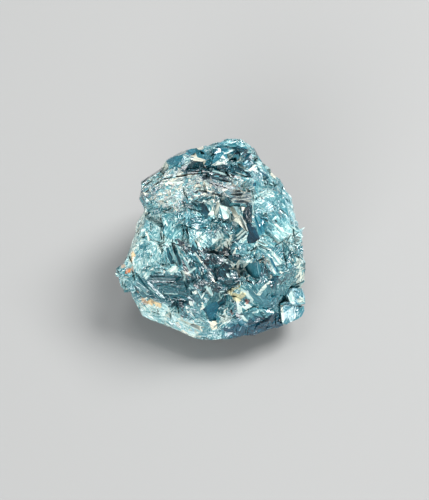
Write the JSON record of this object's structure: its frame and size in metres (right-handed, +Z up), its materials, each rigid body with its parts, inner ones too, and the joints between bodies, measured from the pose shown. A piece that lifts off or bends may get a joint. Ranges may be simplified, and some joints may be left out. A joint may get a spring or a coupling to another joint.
{
  "type": "rough diamond",
  "caption": "Rough uncut diamond: one broken, see-through teal crystal with stepped, hackly cleavage faces, lying on a flat face.",
  "frame": {"origin": "on the flat rest face, under the middle of the stone", "axes": "+Z up out of the surface it lies on; the broad broken face looks up and towards -Y; +X to the right as that face is seen"},
  "size_m": [0.0084, 0.0084, 0.0069],
  "materials": {
    "diamond": "broken crystal: glossy cleavage faces, teal to deep blue, icy white where it is shattered, with a few rust-coloured stains"
  },
  "bodies": {
    "root": {"rough_diamond": "diamond"}
  },
  "joints": []
}
